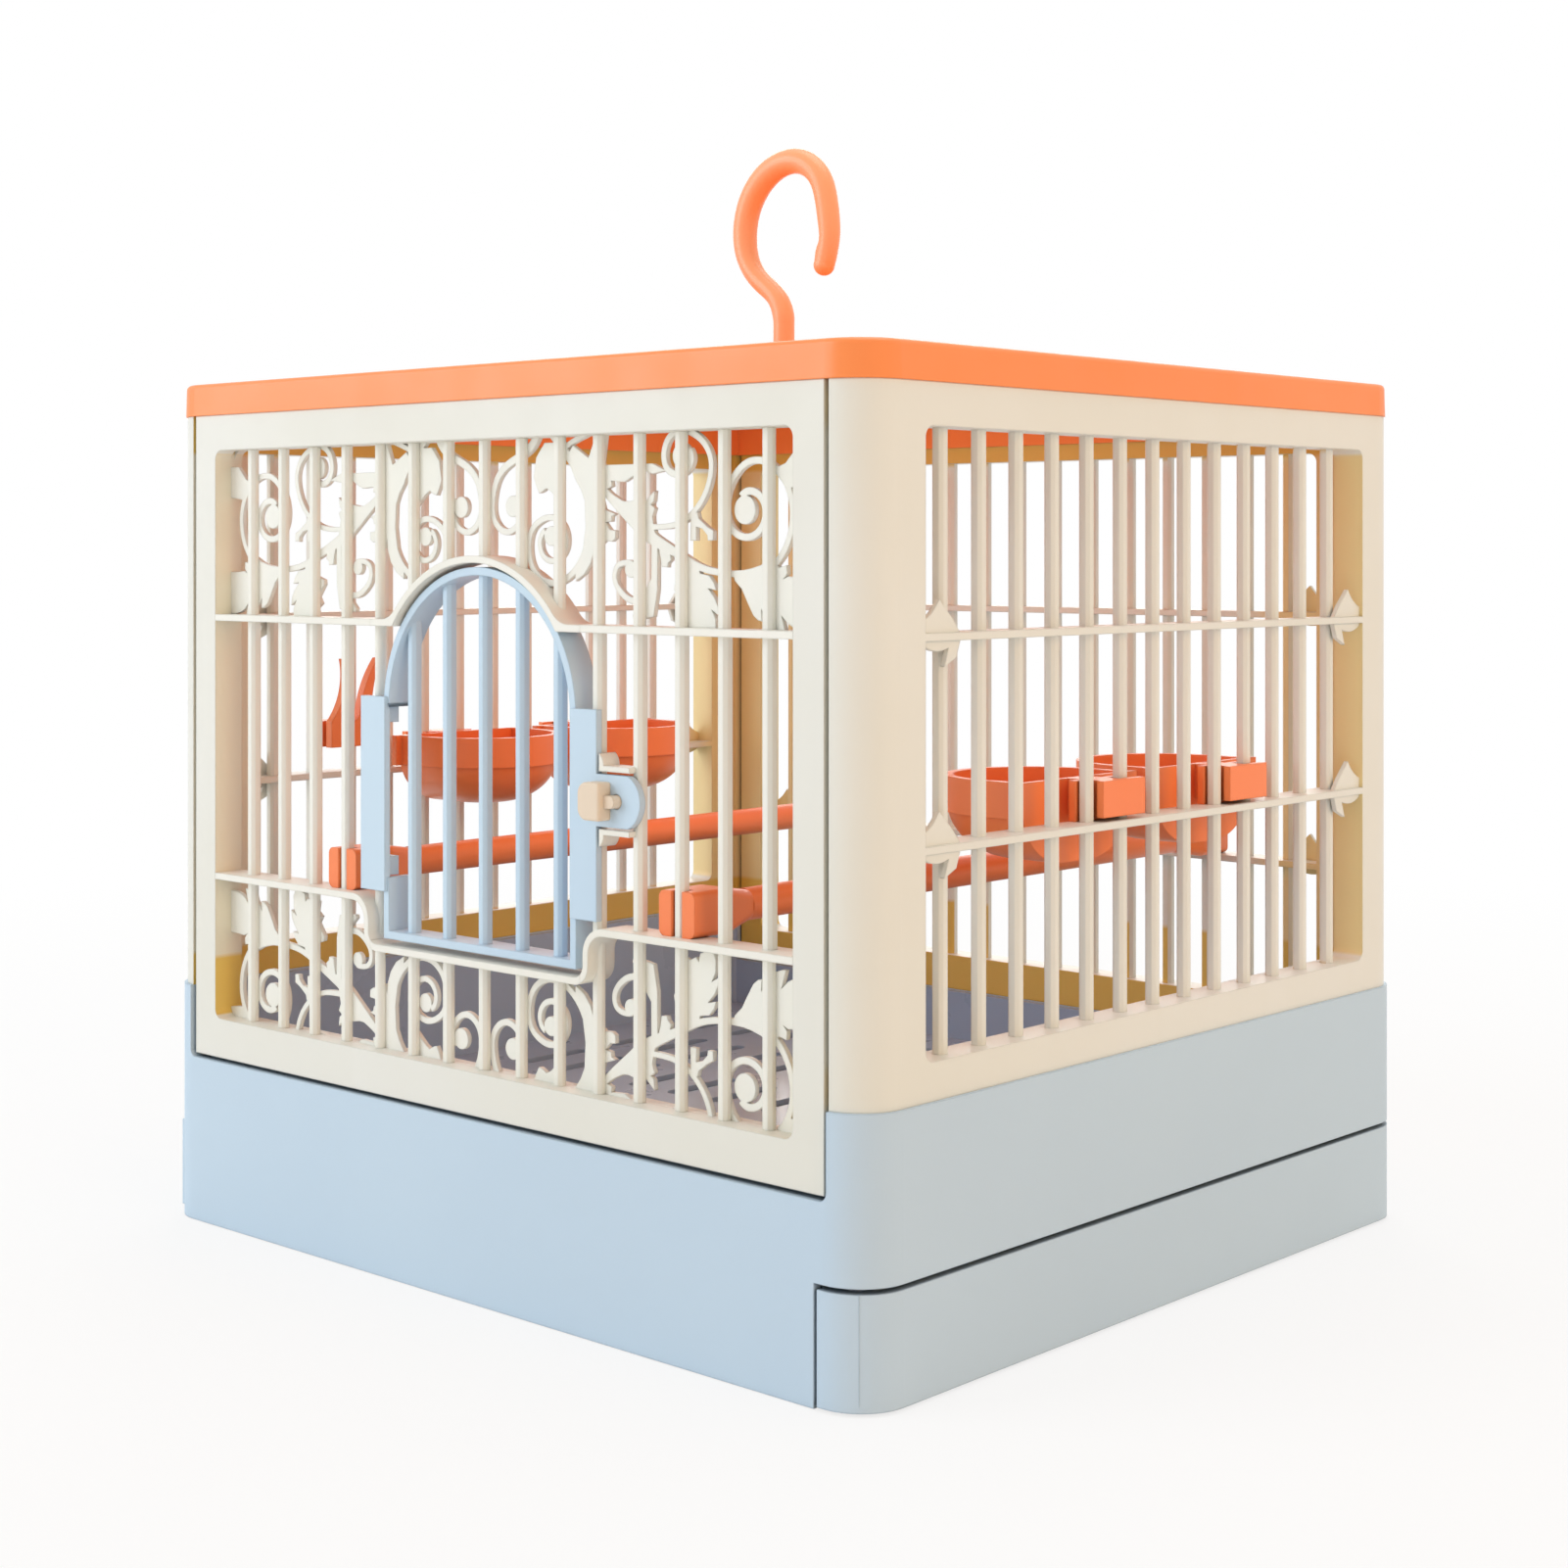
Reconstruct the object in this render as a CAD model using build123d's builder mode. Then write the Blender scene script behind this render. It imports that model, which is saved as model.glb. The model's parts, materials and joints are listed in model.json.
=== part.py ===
from build123d import *
import os
from math import cos, exp, pi, radians, sin, sqrt

# Bird cage, in millimetres. +Z is up, the door faces -Y and the drawer pulls out along +X.
# The origin is the centre of the base's underside.

# Overall sizes
BODY_W = 290.0
BODY_D = 260.0
CORNER_R = 13.0
LID_Z = 252.0
LID_H = 10.0

# Base, drawer and floor
BASE_LIP = 1.0
BASE_SIDE_TOP = 73.2
BASE_FRONT_TOP = 51.0
PANEL_SEAT = 52.2
NOTCH_R = 2.5
BASE_WALL = 2.6
BASE_RIM = 10.0
BASE_FLOOR_T = 2.0
BAY_TOP = 30.8
LEDGE_TOP = 33.0
LEDGE_IN = 4.0
DRAWER_WRAP = 17.0
DRAWER_FOOT = 0.6
DRAWER_TOP = 29.4
DRAWER_FACE_T = 3.0
DRAWER_WALL = 1.8
DRAWER_RUN = 0.5
TUB_WALL = 1.8
TUB_GAP = 0.4

# Grille panels
PANEL_T = 10.0
FRONT_W = 263.0
POST_GAP = 1.5
FRONT_OPEN_W = 242.5
FRONT_OPEN_LOW = 64.2
SIDE_OPEN_W = 214.4
SIDE_OPEN_LOW = 83.0
OPEN_TOP = 241.0
OPEN_R = 3.0
BAR_W = 3.5
BAR_DEPTH = 3.6
BAR_EDGE = 0.9
BAR_INSET = 5.5
FRONT_PITCH = 15.5
SIDE_PITCH = 15.8
RAIL_T = 2.0
FRONT_RAIL_LOW = 108.5
FRONT_RAIL_HIGH = 189.0
SIDE_RAIL_LOW = 135.4
SIDE_RAIL_HIGH = 188.4

# Scrollwork
SCROLL_INSET = 5.9
SCROLL_T = 1.4
SCROLL_GROOVE = 1.3
SCROLL_FLIP = 293.5
SPRIG_INSET = 1.2

# Doorway and door
DOOR_R = 40.8
ARCH_Z = 164.5
ARCH_GAP = 1.2
HOOD_T = 2.0
HOOD_FLARE = 8.0
SILL_Z = 94.5
SILL_HALF = 46.5
SILL_R = 4.5
SHOULDER_R = 6.5
SPLIT_X = 44.5
DOOR_BOTTOM = 97.2
DOOR_STRIP = 2.3
DOOR_INSET = 2.0
DOOR_DEPTH = 8.5
DOOR_BAR_W = 3.4
PLATE_LOW = 111.0
PLATE_HIGH = 167.5
PLATE_T = 2.0
PLATE_INSET = 1.0
HINGE_PLATE = (-50.2, -39.2)
LATCH_PLATE = (39.4, 49.8)
HINGE_BAR_R = 1.7
HINGE_RUN = 0.1
CLIP_W = 8.4
CLIP_D = 5.0
CLIP_H = 5.5
CLIP_MOUTH = 2.6
CLIP_HIGH = 162.6
CLIP_LOW = 118.0
STRIP_OPEN = (115.0, 165.6)
LATCH_X = 57.5
LATCH_Z = 143.5
TAB_X = 58.9
TAB_R = 7.5
TAB_HALF = 7.0
STEM_R = 1.9
KNOB = (46.9, 55.2)
KNOB_H = 10.2
KNOB_T = 4.5
NECK_W = 3.4
NECK_T = 2.6
CAM_L = 7.6
CAM_H = 4.4
CAM_T = 2.0
KEEPER_GAP = 0.7
KEEPER_T = 1.5
KEEPER_INSET = 1.3

# Cups, treat holder and perches
CUP_W = 57.0
CUP_R = 25.0
CUP_STRAIGHT = 14.0
CUP_FLAT = 6.0
CUP_ROUND = 15.5
CUP_DEEP = 23.1
CUP_WALL = 1.7
CUP_RIM = 147.5
CUP_STAND_OFF = 4.0
BAND_H = 10.0
BAND_PROUD = 1.0
BACK_T = 2.2
CLIP_RUN = 0.3
CLIP_PLATE_T = 2.2
CLIP_REACH = 13.8
CLIP_START = 6.0
INNER_PLATE_W = 20.0
ARM_W = 9.5
CUP_GAPS = (-23.7, 39.5)
HOLDER_GAP = -71.1
HOLDER_FOOT = 144.9
HOLDER_H = 8.5
PERCH_R = 4.4
PERCH_BLOCK_W = 13.0
PERCH_BLOCK_H = 12.0
PERCH_BLOCK_L = 14.0
PERCH_TAPER_L = 11.0
PERCH_INSET = 3.4
PERCH_SLOT = 3.9
PRONG_TOP = 174.0
PRONG_T = 3.0

# Hook
HOOK_R = 3.4
HOOK_BALL_R = 3.4
HOOK_RADII = (3.4, 3.4, 3.3, 3.4, 3.65, 3.9, 4.0, 4.1, 4.15, 4.1, 4.0, 3.85, 3.7, 3.65, 3.55, 3.35, 3.15)
HOOK_RUN = 0.08
HOOK_FLANGE_R = 6.5
HOOK_FLANGE_T = 2.0
NECK_R = 2.6
RETAINER_R = 8.0
RETAINER_T = 2.8

# Lid
LID_OVER = 0.5
LID_TOP_T = 3.5
LID_RIB_T = 1.8
LID_RIB_H = 5.5
LID_DRAFT = 1.5
LID_EDGE_R = 1.6
BOSS_R = 11.0
BOSS_H = 2.0

# The four faces of the cage. Each plane looks outwards, with its y upwards.
FRONT = Plane(origin=(0, -BODY_D / 2, 0), x_dir=(1, 0, 0), z_dir=(0, -1, 0))
BACK = Plane(origin=(0, BODY_D / 2, 0), x_dir=(-1, 0, 0), z_dir=(0, 1, 0))
RIGHT = Plane(origin=(BODY_W / 2, 0, 0), x_dir=(0, 1, 0), z_dir=(1, 0, 0))
LEFT = Plane(origin=(-BODY_W / 2, 0, 0), x_dir=(0, -1, 0), z_dir=(-1, 0, 0))

FRONT_BARS = [FRONT_PITCH * (i - 7) for i in range(15)]
SIDE_BARS = [SIDE_PITCH * (i - 6) for i in range(13)]
DOOR_BARS = FRONT_BARS[5:10]
HINGE_X = FRONT_BARS[4]
HINGE_Y = -BODY_D / 2 + BAR_INSET
PERCH_BARS = (FRONT_BARS[3], FRONT_BARS[12])


def footprint(face, height):
    """Gives the level plane at a height, with x along a face of the cage and y running inwards."""
    return Plane(origin=(face.origin.X, face.origin.Y, height), x_dir=face.x_dir, z_dir=(0, 0, 1))


def block(plane, width, height, depth, x=0.0, y=0.0, mode=Mode.ADD):
    """Adds a block centred at x, y on a plane, reaching depth along the plane's normal."""
    with BuildSketch(plane) as section:
        with Locations((x, y)):
            Rectangle(width, height)
    extrude(section.sketch, amount=depth, mode=mode)


def bars(face, places, bottom, top):
    """Adds upright bars with eased corners behind a face."""
    with BuildSketch(footprint(face, bottom)) as section:
        with Locations(*[(x, BAR_INSET) for x in places]):
            Rectangle(BAR_W, BAR_DEPTH)
        chamfer(section.vertices(), BAR_EDGE)
    extrude(section.sketch, amount=top - bottom)


def rail(face, start, end, height):
    """Adds a level rail as deep as the panel."""
    block(face, end - start, RAIL_T, -PANEL_T, (start + end) / 2, height)


def rebate(bottom, top):
    """Cuts back the rear of the front bars, where the scrollwork lies against them."""
    middle = (bottom + top) / 2
    block(FRONT.offset(-SCROLL_INSET), FRONT_OPEN_W, top - bottom, -PANEL_T, 0, middle, Mode.SUBTRACT)


def front_frame_ring(face):
    """Adds the frame of the front or back panel."""
    with BuildSketch(face) as outline:
        with Locations((0, (PANEL_SEAT + LID_Z) / 2)):
            Rectangle(FRONT_W, LID_Z - PANEL_SEAT)
    extrude(outline.sketch, amount=-PANEL_T)
    with BuildSketch(face) as window:
        with Locations((0, (FRONT_OPEN_LOW + OPEN_TOP) / 2)):
            RectangleRounded(FRONT_OPEN_W, OPEN_TOP - FRONT_OPEN_LOW, OPEN_R)
    extrude(window.sketch, amount=-PANEL_T, mode=Mode.SUBTRACT)


def sill_outline(grow):
    """Gives the filled outline of the dipped strip under the doorway, grown from its middle line."""
    half = SILL_HALF + grow
    low = SILL_Z - grow
    high = FRONT_RAIL_LOW - grow
    shoulder = SHOULDER_R - grow
    corner = SILL_R + grow
    flare = half + shoulder
    with BuildLine() as edge:
        Polyline((-flare, high), (-flare, high + 2 * RAIL_T), (flare, high + 2 * RAIL_T), (flare, high))
        RadiusArc((flare, high), (half, high - shoulder), -shoulder)
        Line((half, high - shoulder), (half, low + corner))
        RadiusArc((half, low + corner), (half - corner, low), corner)
        Line((half - corner, low), (-half + corner, low))
        RadiusArc((-half + corner, low), (-half, low + corner), corner)
        Line((-half, low + corner), (-half, high - shoulder))
        RadiusArc((-half, high - shoulder), (-flare, high), -shoulder)
    with BuildSketch() as outline:
        make_face(edge.edges())
    return outline.sketch


def band(centre, widths):
    """Adds a band that follows points on its middle line, as wide at each as the list says."""
    path = Edge.make_spline([Vector(*p) for p in centre])
    near = []
    far = []
    for i, (point, width) in enumerate(zip(centre, widths)):
        at = path.param_at_point(Vector(*point)) if 0 < i < len(centre) - 1 else i / (len(centre) - 1)
        along = path.tangent_at(at)
        across = Vector(-along.Y, along.X) * (width / 2)
        near.append(Vector(*point) + across)
        far.append(Vector(*point) - across)
    with BuildLine() as outline:
        Spline(*near)
        Line(near[-1], far[-1])
        Spline(*reversed(far))
        Line(far[0], near[0])
    make_face(outline.edges())


def ribbon(centre, start, end):
    """Adds a band whose width goes evenly from start to end."""
    last = len(centre) - 1
    band(centre, [start + (end - start) * i / last for i in range(last + 1)])


def spiral(centre, radii, start, turn):
    """Gives points on a spiral, one for each radius, a turn apart in degrees."""
    return [
        (centre[0] + r * cos(radians(start + i * turn)), centre[1] + r * sin(radians(start + i * turn)))
        for i, r in enumerate(radii)
    ]


def ball(x, z, radius):
    """Adds the round end of a scroll."""
    with Locations((x, z)):
        Circle(radius)


def leaf(*points):
    """Adds a leaf with a toothed edge, given by the tips of its teeth and the notches between them."""
    with BuildLine() as outline:
        Polyline(*points, close=True)
    make_face(outline.edges())


def half_ornament():
    """Adds the right half of the vine scrollwork of the lower band to a sketch."""
    # Main vine, rising from the middle stem to the large end scroll
    band([(44, 63), (50, 69.3), (57, 73.8), (64, 79.2), (75, 84.2), (84, 88), (92, 89.3), (99, 89.6)],
         [2.2, 2.4, 4.2, 3.8, 2.4, 1.9, 1.7, 1.7])
    end = [15.9, 15.9, 15.1, 14.6, 14, 12.7, 10.2, 8.8, 8, 7.2, 6.5, 6, 5.7, 5.5, 5.3, 5.2, 4.8]
    ribbon(spiral((101, 73.6), end, 90, -36), 1.8, 2.0)
    ball(99.5, 73.2, 3.7)
    leaf((109, 63), (113.4, 61.6), (117.4, 57.6), (122, 57.6), (122, 67), (114, 68))
    # Root of the vine and the small leaf under it
    leaf((48, 66.4), (51, 68.6), (54.2, 70.3), (57, 70.5), (60, 70), (63, 71), (64.4, 69.8), (66.9, 67.8),
         (66.6, 70.6), (65.4, 71.4), (66.9, 72.4), (66, 74.6), (67, 79), (60, 76))
    # Broad leaf above the vine
    leaf((83, 88), (83.6, 89.5), (86.8, 90), (88.6, 92), (89.3, 93.8), (86.4, 93.3), (88.8, 95.8), (90, 98),
         (90.3, 100.3), (87.6, 98.7), (89.1, 101.2), (89.2, 104.6), (87.6, 108), (85, 106.2), (83.6, 105.7),
         (83.2, 103.4), (82, 104.6), (80, 103.6), (77, 104.2), (77.6, 101), (75.6, 99.6), (77, 97.6),
         (74.1, 93.9), (74.3, 92.4), (77.6, 91.4), (78.2, 87))
    # Spreading leaf at the vine's end
    leaf((95, 89), (96, 91.3), (98.4, 93.4), (100.4, 96.8), (102.4, 100), (104, 101.2), (105.4, 101.5),
         (105.1, 98.2), (106.2, 100), (108, 101.2), (109, 103.6), (112, 104.6), (113.6, 104.7), (112, 99.8),
         (114.4, 102), (116.2, 102.8), (119, 103.4), (122, 103.4), (122, 90.4), (117.4, 90.3), (114.4, 90),
         (112.6, 90.8), (114, 89.4), (113.8, 87.2), (111.2, 87.8), (109, 85.4),
         (107.5, 86), (105, 87.2), (102, 88), (99, 88.5), (96, 88.6))
    # Leaf and curl standing on the vine
    leaf((65.7, 82), (65.6, 91), (64, 93), (61.6, 98), (58.6, 100.8), (58.9, 101.8), (63, 101.6), (66.5, 101),
         (67.9, 94), (68, 83))
    leaf((68.2, 82), (69.2, 85.4), (69.5, 87.8), (71.6, 88), (71.8, 86.9), (73, 86), (72.6, 84.6), (74, 83.8))
    ribbon([(66.8, 91), (64.9, 94.6), (61.8, 96.6), (58.2, 96.8), (53.8, 94.4), (51.7, 91), (52.5, 88), (55.6, 86.8),
            (58.4, 87)], 2.0, 1.5)
    ball(57.9, 88.6, 2.2)
    # Branch below the vine that closes into a lower scroll
    ribbon([(61, 77.4), (70, 77.3), (76, 76.4), (81, 73.7), (84.6, 70), (87.1, 64.8), (87.3, 59.6), (84.8, 55.6),
            (80.6, 53), (76, 52.2), (72.2, 54), (70.4, 57.6), (71, 61.4), (74, 63.5), (77.6, 63.2), (80.2, 60.6),
            (79.4, 57.4)], 1.5, 2.0)
    ball(76.9, 58.8, 3.3)
    leaf((80.2, 75), (80.1, 79), (80, 81), (82.2, 81), (82.1, 77.4), (84.4, 77.9), (86.2, 79.6), (86.4, 81),
         (88.3, 80.9), (88.2, 78.4), (86, 77.3), (83, 75.2), (82.6, 73.6))
    # Middle scroll, from the frame up under the doorway and inwards
    ribbon([(27, 51.5), (34.5, 59), (41.2, 69), (43, 78)], 2.8, 1.9)
    middle = [15.6, 13.2, 12.1, 11.6, 11.2, 10.4, 9.3, 8.5, 7.2, 6.6, 6.3, 6.1, 6, 5.9, 5.6, 5.5, 5.3, 5, 4.7, 4.3, 3.8]
    ribbon(spiral((26.7, 81), middle, -10, 30), 1.9, 1.6)
    ball(26.7, 79.6, 2.7)
    # Tall leaf on the middle scroll's stem, spreading into its roots
    leaf((33, 58), (36.4, 64.3), (38.5, 67), (40, 70), (40.4, 77), (39.4, 83), (36.4, 88.6), (36.5, 91.9),
         (40, 89.9), (42.4, 87), (43.8, 83.6), (44.2, 80), (45, 83), (48, 81), (50.6, 81.2), (52, 80.4),
         (52.1, 78.2), (50, 78), (48, 76), (50.3, 75.8), (50.6, 74.4), (52, 73.8), (47.6, 72.4), (46, 68),
         (50.7, 66.4), (50.4, 64.8), (47, 60), (48.4, 51.5), (44.6, 51.5), (43.2, 55), (41.6, 58.6), (35.4, 55))
    ribbon([(29, 61), (31, 56.6), (35.6, 53.8), (42, 51.6)], 1.5, 1.5)
    # Low leaf over the frame's edge, to the right of the middle stem
    leaf((44, 62), (50, 64.9), (55.6, 65.3), (58.4, 64), (62, 62), (66, 63.4), (71, 62.6), (66, 60.6), (44, 60.6))
    # Small facing scroll beside the centre bar, with a sprig at its root
    ribbon([(21, 51.5), (14, 57.4), (8.6, 59.8), (4.8, 63), (2.6, 68.4), (3.2, 75), (8.2, 78.4), (12.8, 76.6),
            (14.6, 73), (13, 69.4)], 2.4, 1.6)
    ball(11, 71.3, 3.0)
    leaf((24, 54), (20.6, 58), (19.6, 63.4), (20.6, 65.8), (21.8, 67.8), (23, 67.5), (24.8, 66.5), (26.6, 67.4),
         (28.6, 69), (31, 71), (31, 54))


with BuildSketch() as ornament:
    half_ornament()
    mirror(about=Plane.YZ)

with BuildSketch() as ornament_flipped:
    add(mirror(ornament.sketch, about=Plane.XZ).moved(Location((0, SCROLL_FLIP, 0))))


def scroll_band(pattern, low, high, carrier_z, doorway):
    """Adds one band of scrollwork, joined by a carrier strip that lies in the frame's groove."""
    with BuildSketch(FRONT.offset(-SCROLL_INSET)) as plate:
        add(pattern.sketch)
        with Locations((0, (low + high) / 2)):
            Rectangle(FRONT_OPEN_W, high - low, mode=Mode.INTERSECT)
        add(doorway, mode=Mode.SUBTRACT)
        with Locations((0, carrier_z)):
            Rectangle(FRONT_OPEN_W, SCROLL_GROOVE)
    extrude(plate.sketch, amount=-SCROLL_T)


def side_panel(face):
    """Adds a side panel that wraps round both corners of the cage."""
    with BuildSketch(Plane.XY.offset(BASE_SIDE_TOP)) as plan:
        RectangleRounded(BODY_W, BODY_D, CORNER_R)
    extrude(plan.sketch, amount=LID_Z - BASE_SIDE_TOP)
    keep = footprint(face, BASE_SIDE_TOP)
    post = (BODY_W - FRONT_W) / 2 - POST_GAP
    block(keep, BODY_D, post, LID_Z - BASE_SIDE_TOP, 0, post / 2, Mode.INTERSECT)
    block(keep, BODY_D - 2 * post, PANEL_T, LID_Z - BASE_SIDE_TOP, 0, 1.5 * PANEL_T, Mode.SUBTRACT)
    with BuildSketch(face) as window:
        with Locations((0, (SIDE_OPEN_LOW + OPEN_TOP) / 2)):
            RectangleRounded(SIDE_OPEN_W, OPEN_TOP - SIDE_OPEN_LOW, OPEN_R)
    extrude(window.sketch, amount=-PANEL_T, mode=Mode.SUBTRACT)
    bars(face, SIDE_BARS, SIDE_OPEN_LOW, OPEN_TOP)
    for height in (SIDE_RAIL_LOW, SIDE_RAIL_HIGH):
        rail(face, -SIDE_OPEN_W / 2, SIDE_OPEN_W / 2, height)
        sprigs(face, SIDE_OPEN_W / 2, height)


def sprigs(face, jamb, height):
    """Adds a leaf above and a toothed leaf below a rail, in front of the bars, beside both jambs."""
    top = height + RAIL_T / 2
    low = height - RAIL_T / 2
    for side in (1, -1):
        with BuildLine() as upper:
            Polyline((side * (jamb - 15.5), top - 0.5), (side * (jamb - 12.2), top + 3.4),
                     (side * (jamb - 6.8), top + 8.4))
            Spline((side * (jamb - 6.8), top + 8.4), (side * (jamb - 3.2), top + 4.6), (side * jamb, top + 3.0))
            Polyline((side * jamb, top + 3.0), (side * jamb, top - 0.5), (side * (jamb - 15.5), top - 0.5))
        with BuildLine() as lower:
            Spline((side * jamb, low - 0.8), (side * (jamb - 4.6), low - 2.5), (side * (jamb - 10.6), low - 1.8))
            Polyline((side * (jamb - 10.6), low - 1.8), (side * (jamb - 8.8), low - 6.6),
                     (side * (jamb - 13.6), low - 4.4), (side * (jamb - 15.5), low + 0.5),
                     (side * jamb, low + 0.5), (side * jamb, low - 0.8))
        with BuildSketch(face.offset(-SPRIG_INSET)) as leaves:
            make_face(upper.edges())
            make_face(lower.edges())
        extrude(leaves.sketch, amount=-SCROLL_T)


def hang(face, gap, foot, height, run, way, arm_end):
    """Adds the arm that passes between two bars, an outer plate over one of them and an inner plate."""
    outer = BAR_INSET - BAR_DEPTH / 2 - CLIP_PLATE_T - run
    inner = BAR_INSET + BAR_DEPTH / 2 + run
    block(footprint(face, foot), ARM_W, arm_end - outer, height, gap, (arm_end + outer) / 2)
    block(footprint(face, foot), CLIP_REACH + CLIP_START, CLIP_PLATE_T, height,
          gap + way * (CLIP_REACH - CLIP_START) / 2, outer + CLIP_PLATE_T / 2)
    block(footprint(face, foot), INNER_PLATE_W, CLIP_PLATE_T, height, gap, inner + CLIP_PLATE_T / 2)


def bowl(face, gap, inside, wall, mode=Mode.ADD):
    """Adds or cuts a bowl, straight near the panel and round at its far end, with a rounded bottom."""
    end = inside + CUP_STRAIGHT
    low = CUP_RIM - CUP_DEEP + wall
    half = CUP_R - wall
    with BuildLine() as edge:
        Line((gap, CUP_RIM), (gap, low))
        Line((gap, low), (gap + CUP_FLAT, low))
        EllipticalCenterArc((gap + CUP_FLAT, low + CUP_ROUND), half - CUP_FLAT, CUP_ROUND, -90, arc_size=90)
        Line((gap + half, low + CUP_ROUND), (gap + half, CUP_RIM))
        Line((gap + half, CUP_RIM), (gap, CUP_RIM))
    with BuildSketch(face.offset(-end)) as section:
        make_face(edge.edges())
    axis = Axis(face.offset(-end).from_local_coords((gap, 0, 0)), (0, 0, 1))
    revolve(section.sketch, axis=axis, revolution_arc=180, mode=mode)
    with BuildSketch(face.offset(-end)) as across:
        add(section.sketch_local)
        mirror(about=Plane(origin=(gap, 0, 0), z_dir=(1, 0, 0)))
    extrude(across.sketch, amount=end - inside - wall, mode=mode)


def cup(face, gap):
    """Adds a feeding cup that hangs in the gap between two bars of a side panel."""
    inside = PANEL_T + CUP_STAND_OFF
    foot = CUP_RIM - BAND_H
    bowl(face, gap, inside, 0)
    # Band round the mouth and the strip across its back
    with BuildSketch(footprint(face, foot)) as band_plan:
        with Locations((gap, inside + CUP_STRAIGHT)):
            Circle(CUP_R + BAND_PROUD)
        with Locations((gap, inside + CUP_STRAIGHT / 2)):
            Rectangle(2 * (CUP_R + BAND_PROUD), CUP_STRAIGHT)
        with Locations((gap, inside + BACK_T / 2)):
            Rectangle(CUP_W, BACK_T)
    extrude(band_plan.sketch, amount=BAND_H)
    block(footprint(face, foot), BODY_W, 2 * CUP_R, BAND_H, gap, inside - CUP_R, Mode.SUBTRACT)
    hang(face, gap, foot, BAND_H, CLIP_RUN, 1, inside + CUP_WALL)
    # Foot of the inner plate, which stands on the rail
    rail_top = SIDE_RAIL_LOW + RAIL_T / 2
    inner = BAR_INSET + BAR_DEPTH / 2 + CLIP_RUN
    block(footprint(face, rail_top), INNER_PLATE_W, CLIP_PLATE_T, foot - rail_top, gap, inner + CLIP_PLATE_T / 2)
    bowl(face, gap, inside, CUP_WALL, Mode.SUBTRACT)


# Base: plinth with a bay for the drawer, a ledge for the tub and a stepped seat for the panels
with BuildPart() as base_shell:
    with BuildSketch():
        RectangleRounded(BODY_W + 2 * BASE_LIP, BODY_D + 2 * BASE_LIP, CORNER_R + BASE_LIP)
    extrude(amount=BASE_SIDE_TOP)
    # Space inside the rim, above the ledge
    with BuildSketch(Plane.XY.offset(LEDGE_TOP)):
        Rectangle(BODY_W - 2 * BASE_RIM, BODY_D - 2 * BASE_RIM)
    extrude(amount=BASE_SIDE_TOP, mode=Mode.SUBTRACT)
    with BuildSketch(Plane.XY.offset(BAY_TOP)):
        Rectangle(BODY_W - 2 * BASE_RIM - 2 * LEDGE_IN, BODY_D - 2 * BASE_RIM - 2 * LEDGE_IN)
    extrude(amount=LEDGE_TOP, mode=Mode.SUBTRACT)
    # Drawer bay, open towards +X
    bay_start = -BODY_W / 2 - BASE_LIP + BASE_WALL
    with BuildSketch(Plane.XY.offset(BASE_FLOOR_T)):
        with Locations(((bay_start + BODY_W) / 2, 0)):
            Rectangle(BODY_W - bay_start, BODY_D + 2 * BASE_LIP - 2 * BASE_WALL)
    extrude(amount=BAY_TOP - BASE_FLOOR_T, mode=Mode.SUBTRACT)
    wrap_start = BODY_W / 2 + BASE_LIP - DRAWER_WRAP
    with BuildSketch():
        with Locations((wrap_start + BODY_W / 2, 0)):
            Rectangle(BODY_W, BODY_D + 4 * BASE_LIP)
    extrude(amount=BAY_TOP, mode=Mode.SUBTRACT)
    # Front and back notches with rounded lower corners, in which the front and back panels stand
    for face in (FRONT, BACK):
        with BuildSketch(face.offset(BASE_LIP)):
            with Locations((0, BASE_FRONT_TOP + BASE_SIDE_TOP / 2)):
                RectangleRounded(FRONT_W + 2 * POST_GAP, BASE_SIDE_TOP, NOTCH_R)
        extrude(amount=-BASE_RIM - 2 * BASE_LIP, mode=Mode.SUBTRACT)
        # Raised step behind the lip, on which the panel rests
        block(footprint(face, BASE_FRONT_TOP), FRONT_W - 8.0, BASE_RIM - 3.0, PANEL_SEAT - BASE_FRONT_TOP, 0,
              BASE_RIM / 2 + 1.5)
base_shell.part.label = "base_shell"

# Tub that lines the base above the drawer and makes the cage floor
with BuildPart() as floor_tub:
    tub_w = BODY_W - 2 * BASE_RIM - 2 * TUB_GAP
    tub_d = BODY_D - 2 * BASE_RIM - 2 * TUB_GAP
    with BuildSketch(Plane.XY.offset(LEDGE_TOP)):
        RectangleRounded(tub_w, tub_d, 2.0)
    extrude(amount=BASE_SIDE_TOP - LEDGE_TOP - 0.6)
    with BuildSketch(Plane.XY.offset(LEDGE_TOP + TUB_WALL)):
        RectangleRounded(tub_w - 2 * TUB_WALL, tub_d - 2 * TUB_WALL, 1.0)
    extrude(amount=BASE_SIDE_TOP, mode=Mode.SUBTRACT)
    # The front and back walls stop at the panels' lower edge
    for side in (1, -1):
        with BuildSketch(Plane.XZ.offset(side * BODY_D / 2)):
            with Locations((0, PANEL_SEAT + BASE_SIDE_TOP / 2 - TUB_GAP)):
                Rectangle(tub_w - 6.0, BASE_SIDE_TOP)
        extrude(amount=-side * (BASE_RIM + 4.0), mode=Mode.SUBTRACT)
    # Slots in the floor, through which litter falls into the drawer
    with BuildSketch(Plane.XY.offset(LEDGE_TOP)):
        with GridLocations(18.0, 42.0, 13, 5):
            SlotOverall(30.0, 6.0, rotation=90)
    extrude(amount=TUB_WALL, mode=Mode.SUBTRACT)
floor_tub.part.label = "floor_tub"

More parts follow.
